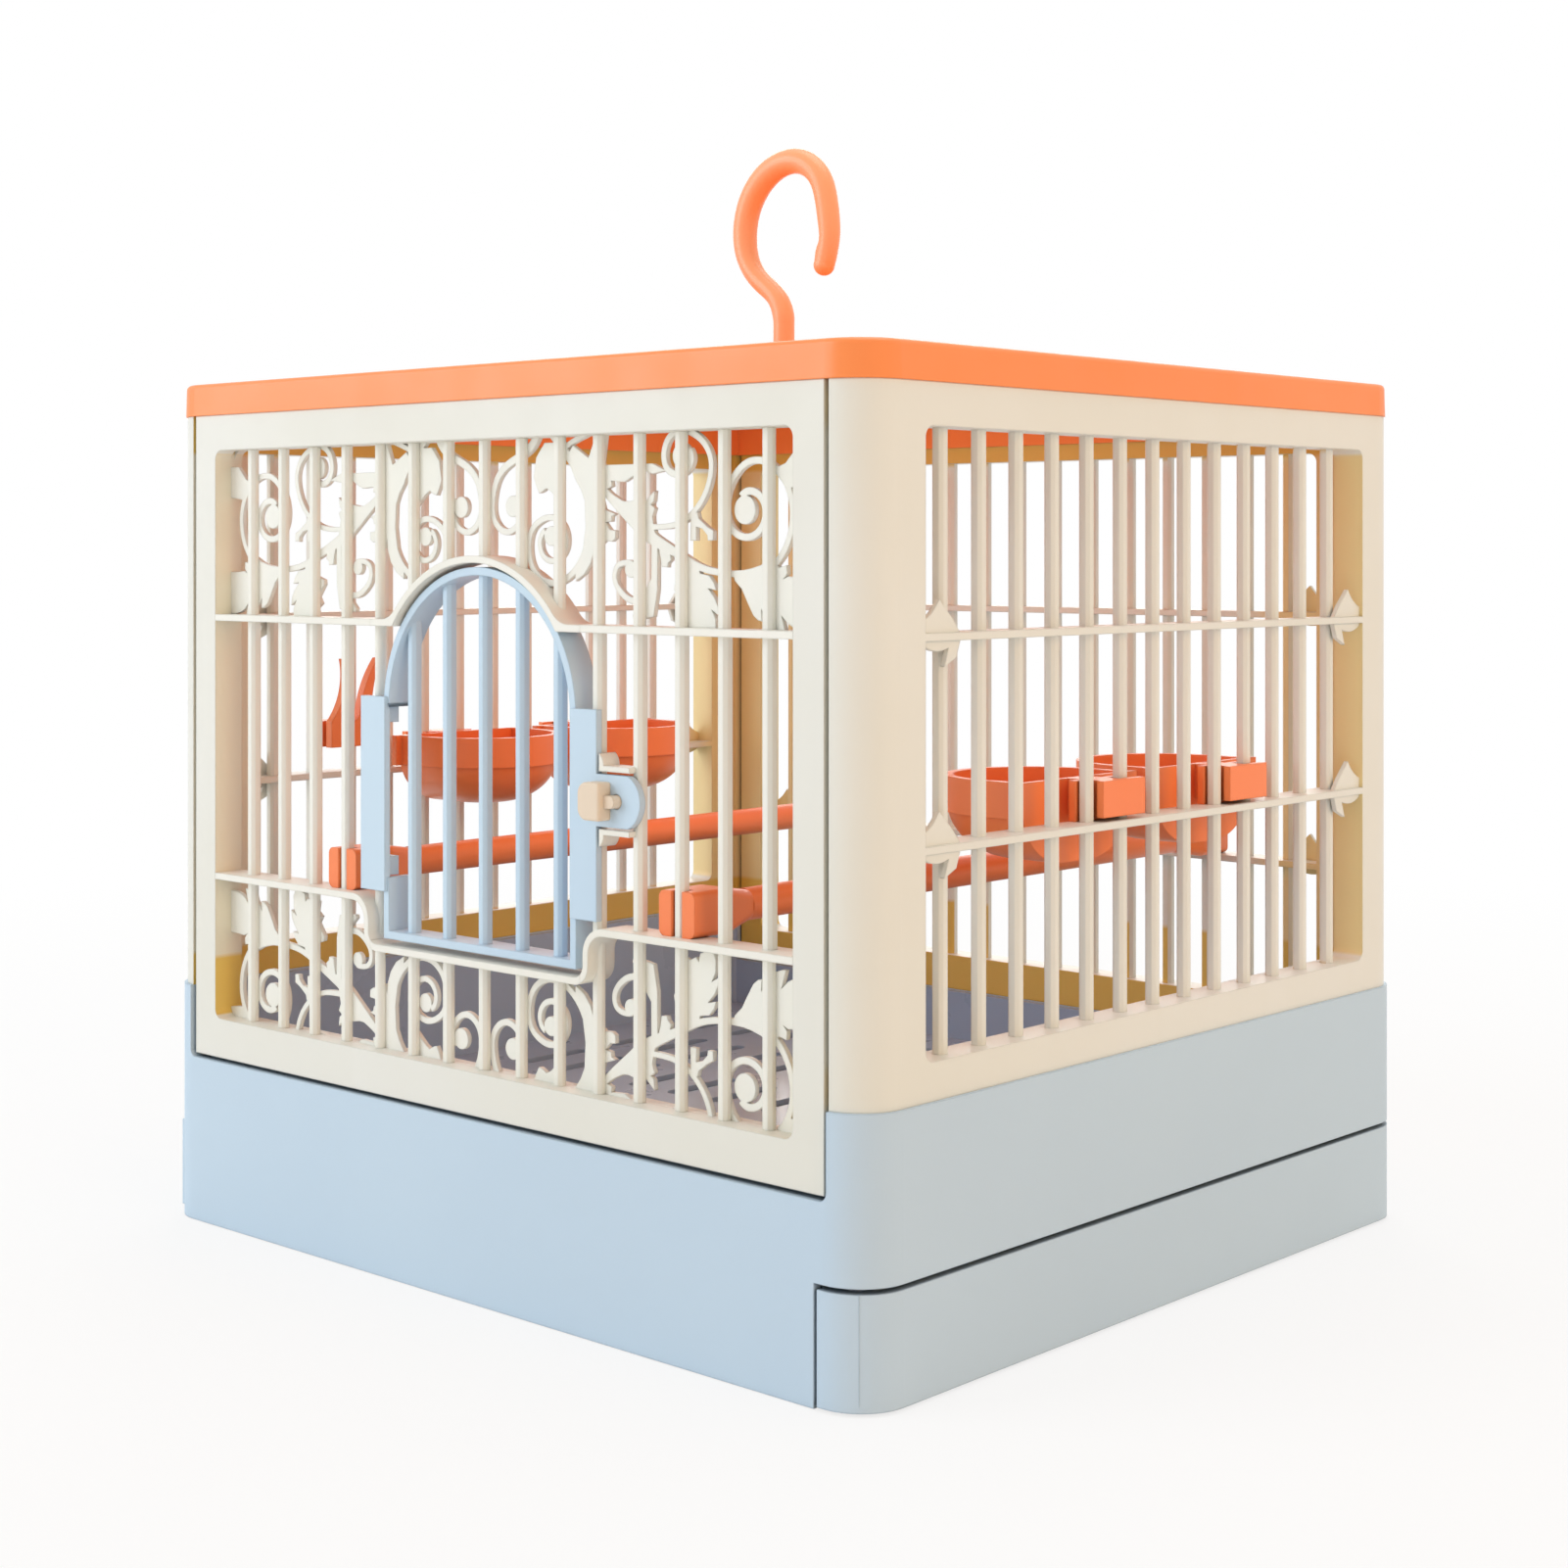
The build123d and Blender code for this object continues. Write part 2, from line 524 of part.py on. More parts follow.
# Drawer: a shallow tray behind a front that wraps round both corners of the base
with BuildPart() as drawer:
    with BuildSketch(Plane.XY.offset(DRAWER_FOOT)):
        RectangleRounded(BODY_W + 2 * BASE_LIP, BODY_D + 2 * BASE_LIP, CORNER_R + BASE_LIP)
    extrude(amount=DRAWER_TOP - DRAWER_FOOT)
    face_start = wrap_start + 1.0
    with BuildSketch(Plane.XY.offset(DRAWER_FOOT)):
        with Locations((face_start + BODY_W / 2, 0)):
            Rectangle(BODY_W, BODY_D + 4 * BASE_LIP)
    extrude(amount=DRAWER_TOP, mode=Mode.INTERSECT)
    # Hollow behind the front
    with BuildSketch(Plane.XY.offset(DRAWER_FOOT + DRAWER_WALL)):
        RectangleRounded(BODY_W + 2 * BASE_LIP - 2 * DRAWER_FACE_T, BODY_D + 2 * BASE_LIP - 2 * DRAWER_FACE_T,
                         CORNER_R + BASE_LIP - DRAWER_FACE_T)
    extrude(amount=DRAWER_TOP, mode=Mode.SUBTRACT)
    # Tray
    tray_floor = BASE_FLOOR_T + DRAWER_RUN
    tray_start = bay_start + 1.5
    tray_end = BODY_W / 2 - DRAWER_FACE_T - 1.0
    tray_d = BODY_D + 2 * BASE_LIP - 2 * BASE_WALL - 2 * DRAWER_RUN
    tray_mid = (tray_start + tray_end) / 2
    with BuildSketch(Plane.XY.offset(tray_floor)):
        with Locations((tray_mid, 0)):
            Rectangle(tray_end - tray_start, tray_d)
    extrude(amount=DRAWER_TOP - tray_floor)
    with BuildSketch(Plane.XY.offset(tray_floor + DRAWER_WALL)):
        with Locations((tray_mid, 0)):
            RectangleRounded(tray_end - tray_start - 2 * DRAWER_WALL, tray_d - 2 * DRAWER_WALL, 3.0)
    extrude(amount=DRAWER_TOP, mode=Mode.SUBTRACT)
drawer.part.label = "drawer"

# Side panels
with BuildPart() as left_panel:
    side_panel(LEFT)
left_panel.part.label = "left_panel"

with BuildPart() as right_panel:
    side_panel(RIGHT)
right_panel.part.label = "right_panel"

# Back panel: frame, bars and rails in one moulding
with BuildPart() as back_panel:
    front_frame_ring(BACK)
    bars(BACK, FRONT_BARS, FRONT_OPEN_LOW, OPEN_TOP)
    for height in (FRONT_RAIL_LOW, FRONT_RAIL_HIGH):
        rail(BACK, -FRONT_OPEN_W / 2, FRONT_OPEN_W / 2, height)
        sprigs(BACK, FRONT_OPEN_W / 2, height)
back_panel.part.label = "back_panel"

# Front panel, divided round the doorway
with BuildPart() as front_frame:
    front_frame_ring(FRONT)
    # Groove that holds the scrollwork
    groove_h = OPEN_TOP - FRONT_OPEN_LOW + 2 * SCROLL_GROOVE
    groove_z = (FRONT_OPEN_LOW + OPEN_TOP) / 2
    block(FRONT.offset(-SCROLL_INSET), FRONT_OPEN_W, groove_h, -SCROLL_T, 0, groove_z, Mode.SUBTRACT)
front_frame.part.label = "front_frame"


def sill_strip(start, end):
    """Gives the part of the dipped strip under the doorway that lies between two places."""
    strip = sill_outline(RAIL_T / 2) - sill_outline(-RAIL_T / 2)
    with BuildSketch(FRONT) as piece:
        add(strip)
        with Locations(((start + end) / 2, SILL_Z)):
            Rectangle(end - start, 4 * SHOULDER_R + 2 * SILL_R, mode=Mode.INTERSECT)
    return piece.sketch


def front_grille(side, places):
    """Adds the bars and rails on one side of the doorway."""
    bars(FRONT, places, FRONT_OPEN_LOW, OPEN_TOP)
    rebate(FRONT_OPEN_LOW, FRONT_RAIL_LOW)
    rebate(FRONT_RAIL_HIGH, OPEN_TOP)
    jamb = side * FRONT_OPEN_W / 2
    shoulder = side * (SILL_HALF + SHOULDER_R)
    split = side * SPLIT_X
    rail(FRONT, min(jamb, shoulder), max(jamb, shoulder), FRONT_RAIL_LOW)
    rail(FRONT, min(jamb, split), max(jamb, split), FRONT_RAIL_HIGH)
    extrude(sill_strip(min(shoulder, split), max(shoulder, split)), amount=-PANEL_T)


with BuildPart() as front_grille_left:
    # The hinge bar is round, so that the door can turn on it
    with BuildSketch(Plane.XY.offset(FRONT_OPEN_LOW)):
        with Locations((HINGE_X, HINGE_Y)):
            Circle(HINGE_BAR_R)
    extrude(amount=OPEN_TOP - FRONT_OPEN_LOW)
    front_grille(-1, FRONT_BARS[:4])
front_grille_left.part.label = "front_grille_left"


def tab_outline(grow, mode=Mode.ADD):
    """Adds or cuts the outline of the latch tab, grown by a margin, in the sketch that is open."""
    high = LATCH_Z + TAB_HALF + grow
    low = LATCH_Z - TAB_HALF - grow
    reach = TAB_X + sqrt((TAB_R + grow) ** 2 - (TAB_HALF + grow) ** 2)
    with BuildLine() as edge:
        Polyline((reach, high), (LATCH_PLATE[0], high), (LATCH_PLATE[0], low), (reach, low))
        ThreePointArc((reach, low), (TAB_X + TAB_R + grow, LATCH_Z), (reach, high))
    make_face(edge.edges(), mode=mode)


with BuildPart() as front_grille_right:
    front_grille(1, FRONT_BARS[10:])
    # Hoop round the latch tab, from the first bar to the second
    bar_back = BAR_INSET + BAR_DEPTH / 2
    with BuildSketch(FRONT.offset(-KEEPER_INSET)) as hoop:
        tab_outline(KEEPER_GAP + KEEPER_T)
        for side in (1, -1):
            with Locations((FRONT_BARS[10] + BAR_W / 2, LATCH_Z + side * (TAB_HALF + KEEPER_GAP + KEEPER_T))):
                Circle(4.0)
        tab_outline(KEEPER_GAP, Mode.SUBTRACT)
        with Locations(((LATCH_PLATE[1] + KEEPER_GAP + FRONT_BARS[11]) / 2, LATCH_Z)):
            Rectangle(FRONT_BARS[11] - LATCH_PLATE[1] - KEEPER_GAP, 4 * TAB_R, mode=Mode.INTERSECT)
    extrude(hoop.sketch, amount=KEEPER_INSET - bar_back)
    # Links from the hoop to the first bar, behind the latch plate
    for side in (1, -1):
        block(FRONT.offset(-PLATE_INSET - PLATE_T - 0.8), LATCH_PLATE[1] + 2.0 - FRONT_BARS[10], KEEPER_T,
              PLATE_INSET + PLATE_T + 0.8 - bar_back, (LATCH_PLATE[1] + 2.0 + FRONT_BARS[10]) / 2,
              LATCH_Z + side * (TAB_HALF + KEEPER_GAP + KEEPER_T / 2))
front_grille_right.part.label = "front_grille_right"

# Hood over the doorway, with the short bars above it
with BuildPart() as front_arch:
    hood_outer = DOOR_R + ARCH_GAP + HOOD_T
    bars(FRONT, DOOR_BARS, FRONT_RAIL_HIGH, OPEN_TOP)
    rebate(FRONT_RAIL_HIGH, OPEN_TOP)
    with BuildSketch(FRONT):
        with Locations((0, ARCH_Z)):
            Circle(hood_outer - HOOD_T / 2)
    extrude(amount=-PANEL_T, mode=Mode.SUBTRACT)
    with BuildSketch(FRONT) as hood:
        with Locations((0, ARCH_Z)):
            Circle(hood_outer)
        with Locations((0, ARCH_Z)):
            Rectangle(2 * hood_outer, 2 * (FRONT_RAIL_HIGH - RAIL_T / 2 - ARCH_Z), mode=Mode.SUBTRACT)
        with Locations((0, ARCH_Z - hood_outer)):
            Rectangle(2 * hood_outer, 2 * hood_outer, mode=Mode.SUBTRACT)
        with Locations((0, FRONT_RAIL_HIGH)):
            Rectangle(2 * SPLIT_X, RAIL_T)
        feet = hood.vertices().filter_by_position(Axis.Y, FRONT_RAIL_HIGH + 0.5, FRONT_RAIL_HIGH + 1.5)
        fillet(feet.sort_by(Axis.X)[1:-1], HOOD_FLARE)
        with Locations((0, ARCH_Z)):
            Circle(DOOR_R + ARCH_GAP, mode=Mode.SUBTRACT)
    extrude(amount=-PANEL_T)
front_arch.part.label = "front_arch"

# Sill under the doorway, with the short bars below it
with BuildPart() as front_sill:
    bars(FRONT, DOOR_BARS, FRONT_OPEN_LOW, SILL_Z)
    rebate(FRONT_OPEN_LOW, SILL_Z)
    extrude(sill_strip(-SPLIT_X, SPLIT_X), amount=-PANEL_T)
front_sill.part.label = "front_sill"

with BuildSketch() as hood_space:
    with Locations((0, ARCH_Z)):
        Circle(hood_outer)

with BuildPart() as front_scroll_top:
    scroll_band(ornament_flipped, FRONT_RAIL_HIGH + RAIL_T / 2, OPEN_TOP + SCROLL_GROOVE,
                OPEN_TOP + SCROLL_GROOVE / 2, hood_space.sketch)
front_scroll_top.part.label = "front_scroll_top"

with BuildPart() as front_scroll_bottom:
    scroll_band(ornament, FRONT_OPEN_LOW - SCROLL_GROOVE, FRONT_RAIL_LOW - RAIL_T / 2,
                FRONT_OPEN_LOW - SCROLL_GROOVE / 2, sill_outline(RAIL_T / 2))
front_scroll_bottom.part.label = "front_scroll_bottom"


def door_outline(shrink):
    """Gives the arched outline of the door, drawn in from its outer edge."""
    half = DOOR_R - shrink
    low = DOOR_BOTTOM + shrink
    with BuildLine() as edge:
        Polyline((-half, ARCH_Z), (-half, low), (half, low), (half, ARCH_Z))
        ThreePointArc((half, ARCH_Z), (0, ARCH_Z + half), (-half, ARCH_Z))
    with BuildSketch(FRONT.offset(-DOOR_INSET)) as outline:
        make_face(edge.edges())
    return outline.sketch


# Door: arched strip frame with bars, hinge plate with clips on one side, latch plate on the other
with BuildPart() as door:
    bars(FRONT, DOOR_BARS, DOOR_BOTTOM, ARCH_Z + DOOR_R)
    extrude(door_outline(DOOR_STRIP / 2), amount=-DOOR_DEPTH, mode=Mode.INTERSECT)
    extrude(door_outline(0) - door_outline(DOOR_STRIP), amount=-DOOR_DEPTH)
    # Open side of the frame behind the hinge plate
    block(FRONT.offset(-DOOR_INSET), 2 * DOOR_STRIP, STRIP_OPEN[1] - STRIP_OPEN[0], -DOOR_DEPTH, -DOOR_R,
          (STRIP_OPEN[0] + STRIP_OPEN[1]) / 2, Mode.SUBTRACT)
    for plate in (HINGE_PLATE, LATCH_PLATE):
        block(FRONT.offset(-PLATE_INSET), plate[1] - plate[0], PLATE_HIGH - PLATE_LOW, -PLATE_T,
              (plate[0] + plate[1]) / 2, (PLATE_LOW + PLATE_HIGH) / 2)
    # Hinge clips, open towards the back so that they snap over the hinge bar
    for height in (CLIP_LOW, CLIP_HIGH):
        clip_x = HINGE_X + CLIP_W / 2 - 2.8
        clip_y = HINGE_Y + CLIP_D / 2 - 2.9
        block(Plane.XY.offset(height - CLIP_H / 2), CLIP_W, CLIP_D, CLIP_H, clip_x, clip_y)
        with BuildSketch(Plane.XY.offset(height - CLIP_H)):
            with Locations((HINGE_X, HINGE_Y)):
                Circle(HINGE_BAR_R + HINGE_RUN)
            with Locations((HINGE_X, HINGE_Y + CLIP_D / 2)):
                Rectangle(CLIP_MOUTH, CLIP_D)
        extrude(amount=2 * CLIP_H, mode=Mode.SUBTRACT)
    # Latch tab, with the hole for the knob's stem
    with BuildSketch(FRONT.offset(-PLATE_INSET)):
        tab_outline(0)
    extrude(amount=-PLATE_T)
    with BuildSketch(FRONT):
        with Locations((LATCH_X, LATCH_Z)):
            Circle(STEM_R + HINGE_RUN)
    extrude(amount=-2 * PLATE_T, mode=Mode.SUBTRACT)
door.part.label = "door"

# Latch knob, a thumb piece on a stem that turns in the tab
with BuildPart() as latch_knob:
    cam_inset = BAR_INSET + BAR_DEPTH / 2 + 0.4
    block(FRONT.offset(-PLATE_INSET), KNOB[1] - KNOB[0], KNOB_H, KNOB_T, (KNOB[0] + KNOB[1]) / 2, LATCH_Z)
    fillet(latch_knob.edges().filter_by(Axis.Y).group_by(Axis.X)[0], 3.2)
    fillet(latch_knob.edges().filter_by(Axis.Y).group_by(Axis.X)[-1], 0.8)
    fillet(latch_knob.faces().sort_by(Axis.Y)[0].edges(), 0.7)
    # Neck from the knob to the stem
    block(FRONT.offset(-PLATE_INSET), LATCH_X - KNOB[1] + 1.0, NECK_W, NECK_T,
          (LATCH_X + KNOB[1] - 1.0) / 2, LATCH_Z)
    with BuildSketch(FRONT.offset(-PLATE_INSET)):
        with Locations((LATCH_X, LATCH_Z)):
            Circle(NECK_W / 2)
    extrude(amount=NECK_T)
    with BuildSketch(FRONT.offset(-PLATE_INSET)):
        with Locations((LATCH_X, LATCH_Z)):
            Circle(STEM_R)
    extrude(amount=PLATE_INSET - cam_inset)
latch_knob.part.label = "latch_knob"

# Latch cam, fixed on the stem's end behind the bars
with BuildPart() as latch_cam:
    with BuildSketch(FRONT.offset(-cam_inset)):
        with Locations((LATCH_X, LATCH_Z)):
            Circle(CAM_H / 2)
        with Locations((LATCH_X - CAM_L / 2, LATCH_Z)):
            RectangleRounded(CAM_L, CAM_H, 1.2)
    extrude(amount=-CAM_T)
latch_cam.part.label = "latch_cam"

# Lid, with a rib that fits inside the panels and a boss for the hook
with BuildPart() as lid:
    with BuildSketch(Plane.XY.offset(LID_Z)):
        RectangleRounded(BODY_W + 2 * LID_OVER, BODY_D + 2 * LID_OVER, CORNER_R + LID_OVER)
    extrude(amount=LID_H, taper=LID_DRAFT)
    fillet(lid.faces().sort_by(Axis.Z)[-1].edges(), LID_EDGE_R)
    inner_w = FRONT_W + 2 * POST_GAP - 2 * TUB_GAP
    inner_d = BODY_D - 2 * PANEL_T - 2 * TUB_GAP
    with BuildSketch(Plane.XY.offset(LID_Z - LID_RIB_H)):
        Rectangle(inner_w, inner_d)
    extrude(amount=LID_RIB_H)
    with BuildSketch(Plane.XY.offset(LID_Z - LID_RIB_H)):
        Rectangle(inner_w - 2 * LID_RIB_T, inner_d - 2 * LID_RIB_T)
    extrude(amount=LID_RIB_H + LID_H - LID_TOP_T, mode=Mode.SUBTRACT)
    with BuildSketch(Plane.XY.offset(LID_Z + LID_H)):
        Circle(BOSS_R)
    extrude(amount=BOSS_H)
    with BuildSketch(Plane.XY.offset(LID_Z)):
        Circle(HOOK_R + HOOK_RUN)
    extrude(amount=LID_H + BOSS_H, mode=Mode.SUBTRACT)
lid.part.label = "lid"

# Hanging hook: a rod that leans to the left and closes into a loop, thickest at its crown
boss_top = LID_Z + LID_H + BOSS_H
plate_under = LID_Z + LID_H - LID_TOP_T

with BuildPart() as hook:
    with BuildLine(Plane.XZ) as rod:
        Spline(
            (0, 282),
            (-5.6, 292.6),
            (-13.4, 299.6),
            (-16.8, 313.0),
            (-9.4, 327.9),
            (5.0, 332.9),
            (16.2, 325.0),
            (19.2, 311.8),
            (17.0, 299.2),
            tangents=((0, 1), (-0.3, -1)),
        )
    for step, radius in enumerate(HOOK_RADII):
        share = step / (len(HOOK_RADII) - 1)
        with BuildSketch(Plane(origin=rod.line @ share, z_dir=rod.line % share)):
            Circle(radius)
    loft()
    with Locations(rod.line @ 1):
        Sphere(HOOK_BALL_R)
    with BuildSketch(Plane.XY.offset(plate_under)):
        Circle(HOOK_R)
    extrude(amount=282 - plate_under)
    with BuildSketch(Plane.XY.offset(boss_top)):
        Circle(HOOK_FLANGE_R)
    extrude(amount=HOOK_FLANGE_T)
    # Neck and head that hold the retainer under the lid
    with BuildSketch(Plane.XY.offset(plate_under)):
        Circle(NECK_R)
    extrude(amount=-RETAINER_T - 0.4)
    with BuildSketch(Plane.XY.offset(plate_under - RETAINER_T - 0.4)):
        Circle(NECK_R + 1.2)
    extrude(amount=-1.6)
hook.part.label = "hook"

# Retainer washer on the hook's neck, under the lid
with BuildPart() as hook_retainer:
    with BuildSketch(Plane.XY.offset(plate_under - RETAINER_T - 0.4)):
        Circle(RETAINER_R)
        Circle(NECK_R + 0.05, mode=Mode.SUBTRACT)
    extrude(amount=RETAINER_T)
hook_retainer.part.label = "hook_retainer"

# Feeding cups. On the left panel a gap's place along x counts the other way.
with BuildPart() as cup_left_front:
    cup(LEFT, -CUP_GAPS[0])
cup_left_front.part.label = "cup_left_front"

with BuildPart() as cup_left_back:
    cup(LEFT, -CUP_GAPS[1])
cup_left_back.part.label = "cup_left_back"

with BuildPart() as cup_right_front:
    cup(RIGHT, CUP_GAPS[0])
cup_right_front.part.label = "cup_right_front"

with BuildPart() as cup_right_back:
    cup(RIGHT, CUP_GAPS[1])
cup_right_back.part.label = "cup_right_back"

# Treat holder: a clip that grips the bars, with a fork of two pointed prongs
with BuildPart() as treat_holder:
    fork = PANEL_T + CUP_STAND_OFF
    hang(LEFT, -HOLDER_GAP, HOLDER_FOOT, HOLDER_H, 0, -1, fork)
    top = HOLDER_FOOT + HOLDER_H
    with BuildLine() as edge:
        ThreePointArc((78.6, top), (74.8, top + 6.0), (73.5, PRONG_TOP))
        Polyline((73.5, PRONG_TOP), (72.7, PRONG_TOP), (72.0, top + 2.4))
        ThreePointArc((72.0, top + 2.4), (69.5, top - 0.1), (67.0, top + 2.4))
        ThreePointArc((67.0, top + 2.4), (64.4, top + 12.0), (59.3, PRONG_TOP))
        Line((59.3, PRONG_TOP), (58.5, PRONG_TOP))
        ThreePointArc((58.5, PRONG_TOP), (61.4, top + 10.0), (62.4, top))
        Polyline((62.4, top), (62.4, HOLDER_FOOT), (78.6, HOLDER_FOOT), (78.6, top))
    with BuildSketch(LEFT.offset(-fork + PRONG_T / 2)) as prongs:
        make_face(edge.edges())
    extrude(prongs.sketch, amount=-PRONG_T)
treat_holder.part.label = "treat_holder"


def perch(x):
    """Adds a perch along Y, with a slotted block at each end that straddles a panel bar."""
    centre_z = FRONT_RAIL_LOW + RAIL_T / 2 + PERCH_BLOCK_H / 2
    rod_half = BODY_D / 2 - PERCH_INSET - PERCH_BLOCK_L - PERCH_TAPER_L
    with BuildSketch(Plane.XZ.offset(-rod_half)) as start:
        with Locations((x, centre_z)):
            Circle(PERCH_R)
    extrude(start.sketch, amount=2 * rod_half)
    slot_end = BAR_INSET + BAR_DEPTH / 2 + 0.5
    for face in (FRONT, BACK):
        along = x * face.x_dir.X
        with BuildSketch(face.offset(-PERCH_INSET - PERCH_BLOCK_L)) as wide:
            with Locations((along, centre_z)):
                RectangleRounded(PERCH_BLOCK_W, PERCH_BLOCK_H, 2.0)
        with BuildSketch(face.offset(-PERCH_INSET - PERCH_BLOCK_L - PERCH_TAPER_L)) as narrow:
            with Locations((along, centre_z)):
                RectangleRounded(2 * PERCH_R - 0.6, 2 * PERCH_R - 0.6, 3.0)
        loft([wide.sketch, narrow.sketch])
        extrude(wide.sketch, amount=PERCH_BLOCK_L)
        block(face, PERCH_SLOT, 2 * PERCH_BLOCK_H, -slot_end, along, centre_z, Mode.SUBTRACT)


with BuildPart() as perch_left:
    perch(PERCH_BARS[0])
perch_left.part.label = "perch_left"

with BuildPart() as perch_right:
    perch(PERCH_BARS[1])
perch_right.part.label = "perch_right"

os.makedirs("parts", exist_ok=True)
pieces = [
    base_shell,
    floor_tub,
    drawer,
    left_panel,
    right_panel,
    back_panel,
    front_frame,
    front_grille_left,
    front_grille_right,
    front_arch,
    front_sill,
    front_scroll_top,
    front_scroll_bottom,
    door,
    latch_knob,
    latch_cam,
    lid,
    hook,
    hook_retainer,
    cup_left_front,
    cup_left_back,
    cup_right_front,
    cup_right_back,
    treat_holder,
    perch_left,
    perch_right,
]
for piece in pieces:
    export_step(piece.part, f"parts/{piece.part.label}.step")
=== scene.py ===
import json
import math

import bmesh
import bpy
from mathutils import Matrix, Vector


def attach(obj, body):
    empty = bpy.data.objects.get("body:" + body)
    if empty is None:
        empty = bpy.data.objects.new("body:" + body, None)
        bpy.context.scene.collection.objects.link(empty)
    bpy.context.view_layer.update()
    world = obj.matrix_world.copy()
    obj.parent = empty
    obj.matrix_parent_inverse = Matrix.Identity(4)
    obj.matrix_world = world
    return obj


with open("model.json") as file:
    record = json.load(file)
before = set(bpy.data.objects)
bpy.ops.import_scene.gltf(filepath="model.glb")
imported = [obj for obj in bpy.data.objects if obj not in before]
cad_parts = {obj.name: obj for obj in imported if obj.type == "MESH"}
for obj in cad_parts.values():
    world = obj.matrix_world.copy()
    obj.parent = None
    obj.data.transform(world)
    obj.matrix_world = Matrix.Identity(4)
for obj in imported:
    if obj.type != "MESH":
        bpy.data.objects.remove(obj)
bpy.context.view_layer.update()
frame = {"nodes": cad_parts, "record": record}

# Camera: level, at the photograph's place and angle
CAMERA_PLACE = (0.53963, -0.59299, 0.21049)
CAMERA_TOWARDS = (-0.6732, 0.7395, 0.0)
CAMERA_SENSOR = 36.0
CAMERA_LENS = 58.01
CAMERA_SHIFT_X = 0.0003
CAMERA_SHIFT_Y = -0.1502
CAMERA_CLIP = (0.01, 50.0)

# Each material slot: its paler and deeper tone as seen, its roughness, the scale of its mould grain,
# and where it differs from the common plastic, its clear coat, flow streaks, gloss, share of painted shade between
# parts, and painted warm shade inside
PLASTICS = {
    "lid_orange": dict(pale=(255, 147, 77), deep=(253, 142, 71), rough=0.38, grain=700, coat=0.12),
    "hook_orange": dict(pale=(255, 177, 126), deep=(254, 168, 114), rough=0.36, grain=800, coat=0.25),
    # The cream panels get a golden painted warm shade on the faces that look into the cage
    "panel_cream": dict(
        pale=(234, 234, 228), deep=(229, 228, 218), rough=0.42, grain=900, streak=0.3, gap_shade_share=0.4, warm_shade_inside=True
    ),
    "grille_cream": dict(pale=(244, 243, 236), deep=(238, 237, 227), rough=0.42, grain=900, streak=0.3, gap_shade_share=0.4),
    "base_blue": dict(
        pale=(199, 219, 235), deep=(195, 215, 232), rough=0.5, grain=1100, grain_depth=0.00003, shine=0.3, gap_shade_share=0.95
    ),
    "door_blue": dict(pale=(203, 225, 241), deep=(194, 217, 236), rough=0.4, grain=900),
    "tub_grey": dict(pale=(172, 194, 222), deep=(160, 181, 209), rough=0.3, grain=600, coat=0.3),
    "fitting_orange": dict(pale=(254, 140, 82), deep=(249, 130, 71), rough=0.4, grain=850, coat=0.1),
    "latch_cream": dict(pale=(236, 219, 198), deep=(230, 211, 188), rough=0.42, grain=900),
}

# Front pieces inside the frame: whiter than the panels' posts and rims, and without their painted warm shade
WHITER = (
    "front_grille_left",
    "front_grille_right",
    "front_arch",
    "front_sill",
    "front_scroll_top",
    "front_scroll_bottom",
)

# Moulded plastic in general: noise scales per metre, lengths in metres
DRIFT_SCALE = 9.0
STREAK_STRETCH = (14.0, 14.0, 2.0)
STREAK_SCALE = 6.0
GLOSS_SCALE = 55.0
GLOSS_BELOW = 0.05
GLOSS_ABOVE = 0.07
WAVE_SCALE = 42.0
WAVE_SHARE = 1.2
BUMP_STRENGTH = 0.5
EDGE_RADIUS = 0.0006
EDGE_SAMPLES = 4
PLASTIC_IOR = 1.49
COAT_ROUGHNESS = 0.12

# Painted shade in the narrow spaces between parts: its reach in metres, the openness at which it starts and is darkest,
# its tone
GAP_REACH = 0.004
GAP_SAMPLES = 6
GAP_DARKEST = 0.1
GAP_START = 0.42
GAP_TONE = 0.06

# Painted warm shade, golden, on the inner faces of a panel: in metres from the cage's middle and above its underside
INWARD_FROM, INWARD_FULL = 0.08, 0.10
POST_FROM, POST_FULL = 0.095, 0.107
POST_FRONT, POST_BACK = -0.05, 0.09
POST_FRONT_SHARE, POST_BACK_SHARE = 0.3, 0.9
LOWER_FULL, LOWER_END = 0.0825, 0.0840
UPPER_START, UPPER_FULL = 0.2395, 0.2410
EDGE_SHARE = 0.95
# Golden tones of the painted warm shade, on the posts and along the lower and upper edges
POST_WARM_SHADE = (238, 214, 150)
EDGE_WARM_SHADE = (228, 190, 86)

# Walls over the slots at the base's two left corners: metres, with turns in degrees round the corner's centre
BAY_CENTRE_X = -0.132
BAY_CENTRE_Y = 0.117
BAY_PROUD_R = 0.014012
BAY_SUNK_R = 0.01396
BAY_INNER_R = 0.0136
BAY_TURNS = (30.5, 32.0, 36.0, 40.0, 45.0, 50.0, 54.0, 58.0, 59.5)
BAY_HEIGHTS = (0.0009, 0.0012, 0.0316, 0.0319)
BAY_SHARP_ANGLE = 40

# Studio: a white world and floor as the camera sees them, and plain light for the object
WHITE = (1.0, 1.0, 1.0, 1.0)
WORLD_COLOUR = (1.0, 0.99, 0.98, 1.0)
WORLD_STRENGTH = 0.5
FLOOR_HALF = 6.0
FLOOR_DROP = 0.0002
FLOOR_COLOUR = (0.86, 0.86, 0.86, 1.0)
FLOOR_WHITE_NEAR = 0.78
FLOOR_NEAR, FLOOR_FAR = 0.3, 0.9

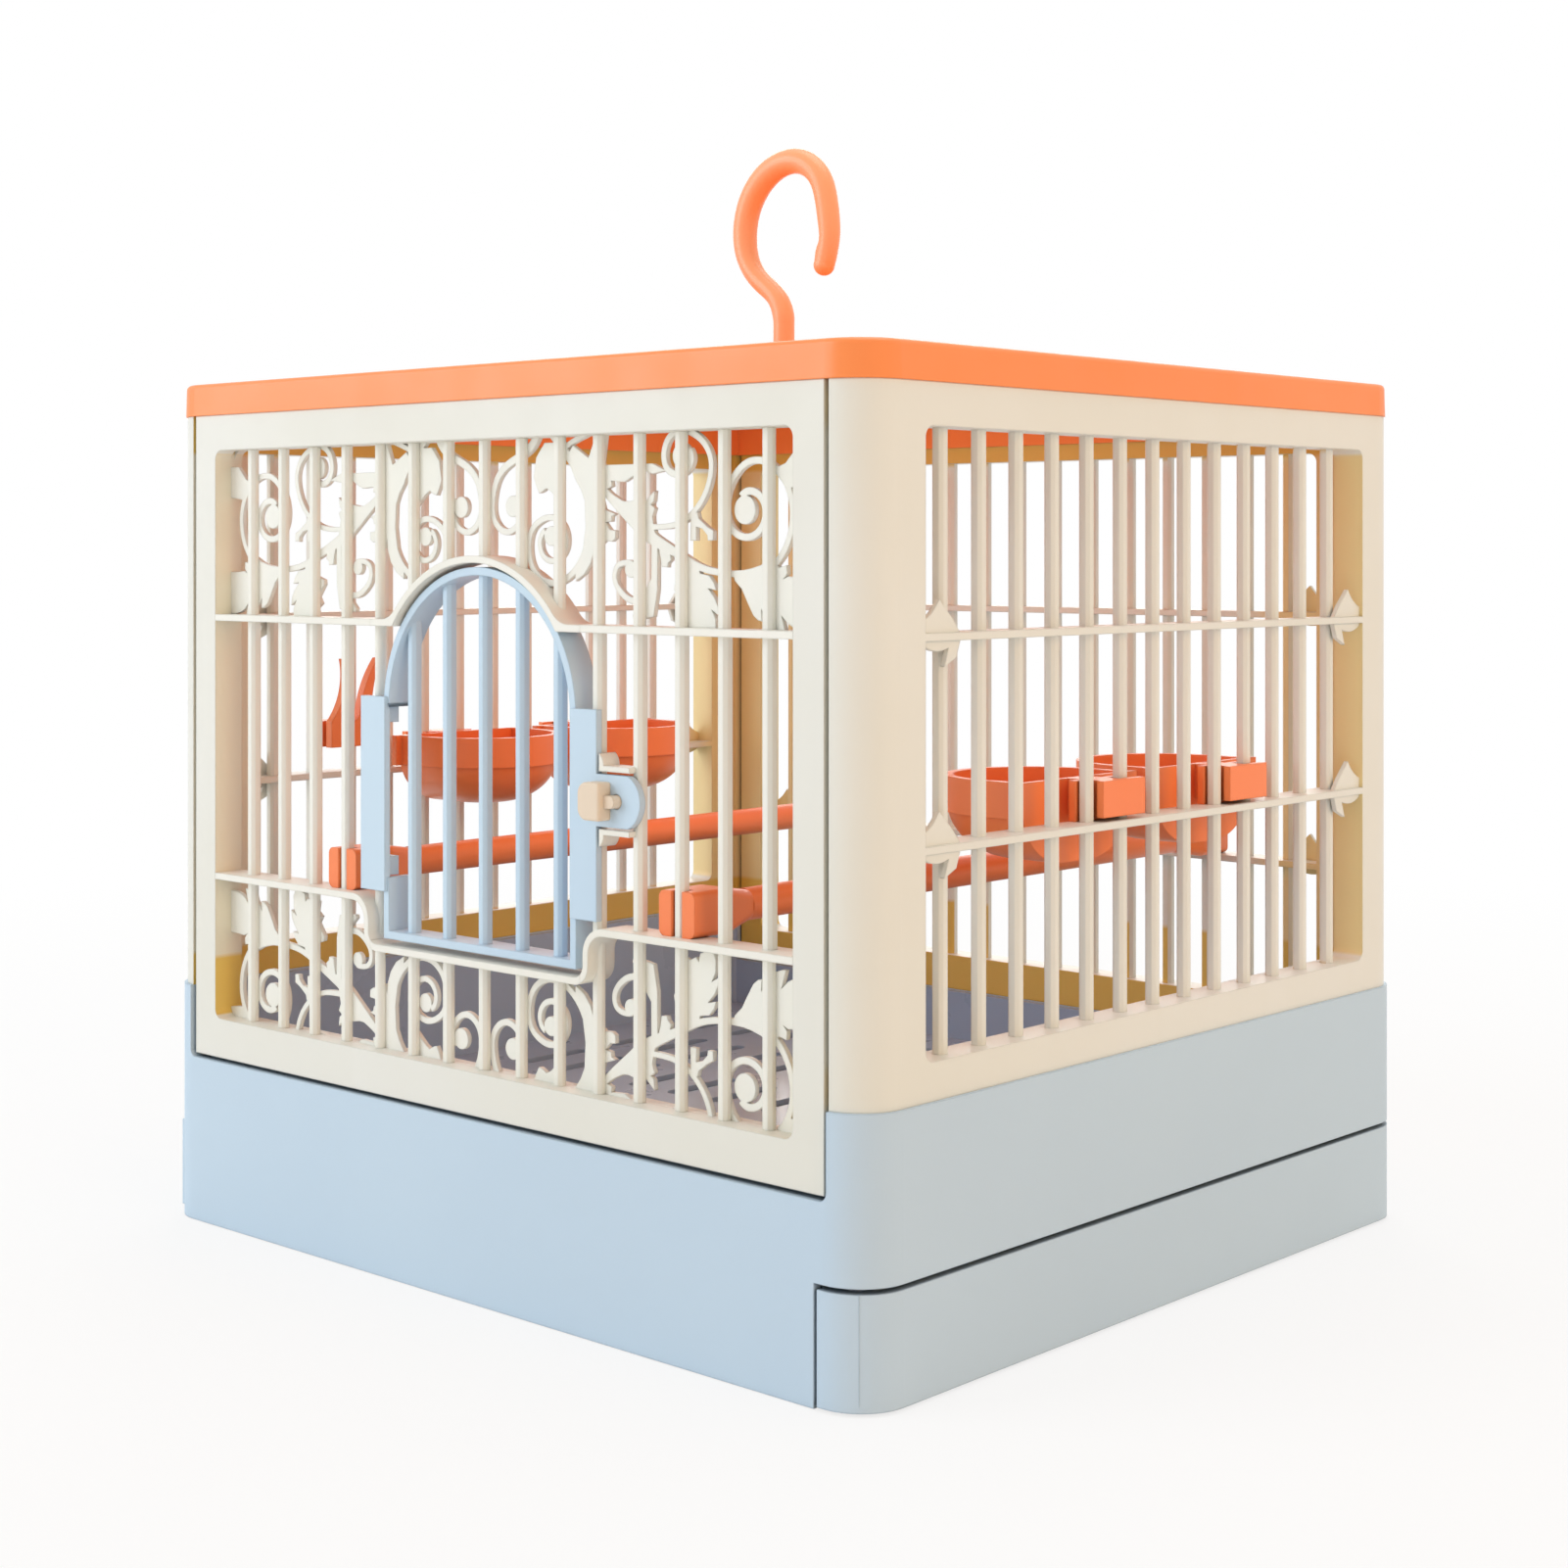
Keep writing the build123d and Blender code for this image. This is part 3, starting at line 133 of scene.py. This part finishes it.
# Soft boxes: place and size in metres, power in watts, colour
LIGHT_AIM = (0.0, 0.0, 0.15)
SOFTBOXES = {
    "key_front": ((-1.4, -1.8, 0.9), 1.6, 24.5, (0.91, 0.965, 1.0)),
    "fill_right": ((2.3, -0.3, 0.9), 1.4, 17.5, (1.0, 0.61, 0.25)),
    "top": ((0.2, 0.3, 2.4), 1.8, 20.0, (1.0, 0.98, 0.95)),
    "back": ((-1.6, 1.9, 1.1), 1.6, 18.0, (1.0, 0.95, 0.88)),
}
# The warm one isn't mirrored in the lid
UNMIRRORED = "fill_right"
# Small lamp inside the cage, for light that comes through the bars
INSIDE_PLACE = (0.0, 0.0, 0.2)
INSIDE_POWER = 0.13
INSIDE_COLOUR = (1.0, 0.95, 0.86)
INSIDE_SIZE = 0.05


def link_object(name, data):
    made = bpy.data.objects.new(name, data)
    bpy.context.scene.collection.objects.link(made)
    return made


def make_camera():
    data = bpy.data.cameras.new("camera")
    cam = link_object("camera", data)
    cam.location = CAMERA_PLACE
    cam.rotation_mode = "QUATERNION"
    cam.rotation_quaternion = Vector(CAMERA_TOWARDS).to_track_quat("-Z", "Y")
    data.sensor_width = CAMERA_SENSOR
    data.lens = CAMERA_LENS
    data.shift_x = CAMERA_SHIFT_X
    data.shift_y = CAMERA_SHIFT_Y
    data.clip_start, data.clip_end = CAMERA_CLIP
    bpy.context.scene.camera = cam


# Colours are given as seen, in 0 to 255, and turned into linear light
def seen(red, green, blue):
    return tuple(
        c / 255 / 12.92 if c / 255 <= 0.04045 else ((c / 255 + 0.055) / 1.055) ** 2.4
        for c in (red, green, blue)
    ) + (1.0,)


def node(tree, kind, **values):
    made = tree.nodes.new(kind)
    for key, value in values.items():
        setattr(made, key, value)
    return made


# A number or colour is set on the socket, and another node's output is linked to it
def feed(tree, socket, value):
    if isinstance(value, (int, float, tuple)):
        socket.default_value = value
    else:
        tree.links.new(value, socket)


def noise(tree, coords, scale, detail, rough=0.5):
    made = node(tree, "ShaderNodeTexNoise")
    made.inputs["Scale"].default_value = scale
    made.inputs["Detail"].default_value = detail
    made.inputs["Roughness"].default_value = rough
    tree.links.new(coords, made.inputs["Vector"])
    return made.outputs["Fac"]


# From low to high as the value goes from from_low to from_high, and held at both ends
def spread(tree, value, low, high, from_low=0.3, from_high=0.7):
    made = node(tree, "ShaderNodeMapRange")
    made.inputs["From Min"].default_value = from_low
    made.inputs["From Max"].default_value = from_high
    made.inputs["To Min"].default_value = low
    made.inputs["To Max"].default_value = high
    tree.links.new(value, made.inputs["Value"])
    return made.outputs["Result"]


def mixed(tree, share, first, second):
    made = node(tree, "ShaderNodeMix", data_type="RGBA")
    factor, first_colour, second_colour = (made.inputs[place] for place in (0, 6, 7))
    feed(tree, first_colour, first)
    feed(tree, second_colour, second)
    feed(tree, factor, share)
    return made.outputs[2]


def maths(tree, operation, *values):
    made = node(tree, "ShaderNodeMath", operation=operation)
    for socket, value in zip(made.inputs, values):
        feed(tree, socket, value)
    return made.outputs[0]


def vector_maths(tree, operation, *values):
    made = node(tree, "ShaderNodeVectorMath", operation=operation)
    for socket, value in zip(made.inputs, values):
        feed(tree, socket, value)
    return made


# Painted warm shade, golden, on faces of a panel that look into the cage: on its corner posts, and stronger along its
# lower and upper edge
def painted_warm_shade(tree, coords, base):
    normal = node(tree, "ShaderNodeTexCoord").outputs["Normal"]
    to_middle = vector_maths(tree, "MULTIPLY", coords, (-1.0, -1.0, 0.0)).outputs[0]
    facing = vector_maths(tree, "DOT_PRODUCT", normal, to_middle).outputs["Value"]
    inward = spread(tree, facing, 0.0, 1.0, INWARD_FROM, INWARD_FULL)
    place = node(tree, "ShaderNodeSeparateXYZ")
    tree.links.new(coords, place.inputs[0])
    x, y, z = place.outputs
    from_middle = maths(tree, "MINIMUM", maths(tree, "ABSOLUTE", x), maths(tree, "ABSOLUTE", y))
    posts = maths(
        tree,
        "MULTIPLY",
        spread(tree, from_middle, 0.0, 1.0, POST_FROM, POST_FULL),
        spread(tree, y, POST_FRONT_SHARE, POST_BACK_SHARE, POST_FRONT, POST_BACK),
    )
    edges = maths(
        tree,
        "MAXIMUM",
        spread(tree, z, EDGE_SHARE, 0.0, LOWER_FULL, LOWER_END),
        spread(tree, z, 0.0, EDGE_SHARE, UPPER_START, UPPER_FULL),
    )
    base = mixed(tree, maths(tree, "MULTIPLY", inward, posts), base, seen(*POST_WARM_SHADE))
    return mixed(tree, maths(tree, "MULTIPLY", inward, edges), base, seen(*EDGE_WARM_SHADE))


# Painted shade in deep, narrow spaces between parts, where little light gets in
def painted_gap_shade(tree):
    made = node(tree, "ShaderNodeAmbientOcclusion", samples=GAP_SAMPLES)
    made.inputs["Distance"].default_value = GAP_REACH
    return spread(tree, made.outputs["AO"], 1.0, 0.0, GAP_DARKEST, GAP_START)


# Moulded plastic: slow tone drift, faint flow streaks, an etched mould grain, uneven gloss and softened edges, with
# painted shade between parts and, where asked, painted warm shade on inner faces
def plastic(name, pale, deep, rough, grain, grain_depth=0.00002, coat=0.0, streak=0.0, shine=0.5, gap_shade_share=0.5, warm_shade_inside=False):
    material = bpy.data.materials.new(name)
    material.use_nodes = True
    tree = material.node_tree
    shader = tree.nodes["Principled BSDF"]
    coords = node(tree, "ShaderNodeTexCoord").outputs["Object"]

    deep_tone = seen(*deep)
    base = mixed(tree, spread(tree, noise(tree, coords, DRIFT_SCALE, 3.0), 0.0, 1.0), seen(*pale), deep_tone)
    if streak:
        stretch = node(tree, "ShaderNodeMapping")
        stretch.inputs["Scale"].default_value = STREAK_STRETCH
        tree.links.new(coords, stretch.inputs["Vector"])
        flow = noise(tree, stretch.outputs["Vector"], STREAK_SCALE, 4.0, 0.6)
        base = mixed(tree, spread(tree, flow, 0.0, streak, 0.5, 0.8), base, deep_tone)
    # Painted warm shade, golden, on the panel's faces that look into the cage
    if warm_shade_inside:
        base = painted_warm_shade(tree, coords, base)
    shadow = tuple(GAP_TONE * c for c in deep_tone[:3]) + (1.0,)
    # Painted shade: the colour darkens towards a dark tone where other parts close in
    base = mixed(tree, maths(tree, "MULTIPLY", painted_gap_shade(tree), gap_shade_share), base, shadow)
    tree.links.new(base, shader.inputs["Base Color"])

    gloss = spread(tree, noise(tree, coords, GLOSS_SCALE, 4.0), rough - GLOSS_BELOW, rough + GLOSS_ABOVE)
    tree.links.new(gloss, shader.inputs["Roughness"])

    etched = noise(tree, coords, grain, 2.0, 0.6)
    waves = noise(tree, coords, WAVE_SCALE, 1.0)
    bump = node(tree, "ShaderNodeBump")
    bump.inputs["Strength"].default_value = BUMP_STRENGTH
    bump.inputs["Distance"].default_value = grain_depth
    tree.links.new(maths(tree, "MULTIPLY_ADD", waves, WAVE_SHARE, etched), bump.inputs["Height"])
    softened = node(tree, "ShaderNodeBevel", samples=EDGE_SAMPLES)
    softened.inputs["Radius"].default_value = EDGE_RADIUS
    tree.links.new(softened.outputs["Normal"], bump.inputs["Normal"])
    tree.links.new(bump.outputs["Normal"], shader.inputs["Normal"])

    shader.inputs["IOR"].default_value = PLASTIC_IOR
    shader.inputs["Specular IOR Level"].default_value = shine
    if coat:
        shader.inputs["Coat Weight"].default_value = coat
        shader.inputs["Coat Roughness"].default_value = COAT_ROUGHNESS
    return material


def make_materials():
    return {slot: plastic(slot.split("_")[0] + "_plastic", **values) for slot, values in PLASTICS.items()}


def dress(materials):
    slots = {part["node"]: part["material_slot"] for part in frame["record"]["subparts"]}
    slots.update({name: "grille_cream" for name in WHITER})
    for name, made in frame["nodes"].items():
        material = materials[slots[name]]
        if not made.material_slots:
            made.data.materials.append(material)
        for place in made.material_slots:
            place.link = "OBJECT"
            place.material = material


# One curved wall over the slot at a left corner of the base, sunk under the wall round it at its own edges
def bay_corner_mesh(name, side):
    across = len(BAY_TURNS)
    up = len(BAY_HEIGHTS)
    corners = []
    for layer in ("outer", "inner"):
        for row, z in enumerate(BAY_HEIGHTS):
            for column, turn in enumerate(BAY_TURNS):
                at_edge = row in (0, up - 1) or column in (0, across - 1)
                radius = BAY_INNER_R if layer == "inner" else (BAY_SUNK_R if at_edge else BAY_PROUD_R)
                angle = math.radians(turn)
                x = BAY_CENTRE_X - radius * math.cos(angle)
                y = side * (BAY_CENTRE_Y + radius * math.sin(angle))
                corners.append((x, y, z))
    grid = [[row * across + column for column in range(across)] for row in range(up)]
    to_inner = across * up
    faces = []
    for row in range(up - 1):
        for column in range(across - 1):
            quad = (grid[row][column], grid[row][column + 1], grid[row + 1][column + 1], grid[row + 1][column])
            faces += [quad, tuple(reversed([point + to_inner for point in quad]))]
    rim = grid[0][:-1] + [row[-1] for row in grid[:-1]] + grid[-1][:0:-1] + [row[0] for row in grid[:0:-1]]
    for here, there in zip(rim, rim[1:] + rim[:1]):
        faces.append((there, here, here + to_inner, there + to_inner))
    mesh = bpy.data.meshes.new(name)
    mesh.from_pydata(corners, [], faces)
    turned = bmesh.new()
    turned.from_mesh(mesh)
    bmesh.ops.recalc_face_normals(turned, faces=turned.faces)
    turned.to_mesh(mesh)
    turned.free()
    return mesh


def make_bay_corners(material):
    for name, side in (("bay_corner_front", -1), ("bay_corner_back", 1)):
        mesh = bay_corner_mesh(name, side)
        mesh.materials.append(material)
        for face in mesh.polygons:
            face.use_smooth = True
        mesh.set_sharp_from_angle(angle=math.radians(BAY_SHARP_ANGLE))
        wall = link_object(name, mesh)
        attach(wall, "cage")


# White where the camera looks past the object or a surface mirrors it, and ordinary for all other light
def white_seen(tree, ordinary, white, share):
    paths = node(tree, "ShaderNodeLightPath").outputs
    looked_at = maths(tree, "MAXIMUM", paths["Is Camera Ray"], paths["Is Glossy Ray"])
    looked_at = maths(tree, "MAXIMUM", looked_at, paths["Is Transmission Ray"])
    blend = node(tree, "ShaderNodeMixShader")
    feed(tree, blend.inputs[0], maths(tree, "MULTIPLY", looked_at, share))
    tree.links.new(ordinary, blend.inputs[1])
    tree.links.new(white, blend.inputs[2])
    return blend.outputs[0]


def make_world():
    world = bpy.data.worlds.new("studio")
    bpy.context.scene.world = world
    world.use_nodes = True
    tree = world.node_tree
    tree.nodes.clear()
    out = node(tree, "ShaderNodeOutputWorld")
    soft = node(tree, "ShaderNodeBackground")
    soft.inputs["Color"].default_value = WORLD_COLOUR
    soft.inputs["Strength"].default_value = WORLD_STRENGTH
    white = node(tree, "ShaderNodeBackground")
    white.inputs["Color"].default_value = WHITE
    white.inputs["Strength"].default_value = 1.0
    tree.links.new(white_seen(tree, soft.outputs[0], white.outputs[0], 1.0), out.inputs["Surface"])


# Floor: pale paper that keeps the object's shadow, and fades to white away from it
def make_floor():
    half = FLOOR_HALF
    mesh = bpy.data.meshes.new("floor")
    mesh.from_pydata([(-half, -half, 0), (half, -half, 0), (half, half, 0), (-half, half, 0)], [], [(0, 1, 2, 3)])
    floor = link_object("floor", mesh)
    floor.location.z = -FLOOR_DROP
    material = bpy.data.materials.new("floor_white")
    material.use_nodes = True
    tree = material.node_tree
    tree.nodes.clear()
    out = node(tree, "ShaderNodeOutputMaterial")
    paper = node(tree, "ShaderNodeBsdfDiffuse")
    paper.inputs["Color"].default_value = FLOOR_COLOUR
    white = node(tree, "ShaderNodeEmission")
    white.inputs["Color"].default_value = WHITE
    white.inputs["Strength"].default_value = 1.0
    place = node(tree, "ShaderNodeTexCoord").outputs["Object"]
    away = vector_maths(tree, "LENGTH", place).outputs["Value"]
    share = spread(tree, away, FLOOR_WHITE_NEAR, 1.0, FLOOR_NEAR, FLOOR_FAR)
    tree.links.new(white_seen(tree, paper.outputs[0], white.outputs[0], share), out.inputs["Surface"])
    mesh.materials.append(material)


def make_lights():
    for name, (place, size, power, colour) in SOFTBOXES.items():
        data = bpy.data.lights.new(name, "AREA")
        data.shape = "SQUARE"
        data.size = size
        data.energy = power
        data.color = colour
        lamp = link_object(name, data)
        lamp.location = place
        lamp.rotation_mode = "QUATERNION"
        lamp.rotation_quaternion = (Vector(LIGHT_AIM) - Vector(place)).to_track_quat("-Z", "Y")
        lamp.visible_glossy = name != UNMIRRORED
    data = bpy.data.lights.new("inside", "POINT")
    data.energy = INSIDE_POWER
    data.color = INSIDE_COLOUR
    data.shadow_soft_size = INSIDE_SIZE
    lamp = link_object("inside", data)
    lamp.location = INSIDE_PLACE
    lamp.visible_camera = False
    lamp.visible_glossy = False


bpy.context.scene.view_settings.view_transform = "Standard"
make_camera()
materials = make_materials()
dress(materials)
make_bay_corners(materials["base_blue"])
make_world()
make_floor()
make_lights()
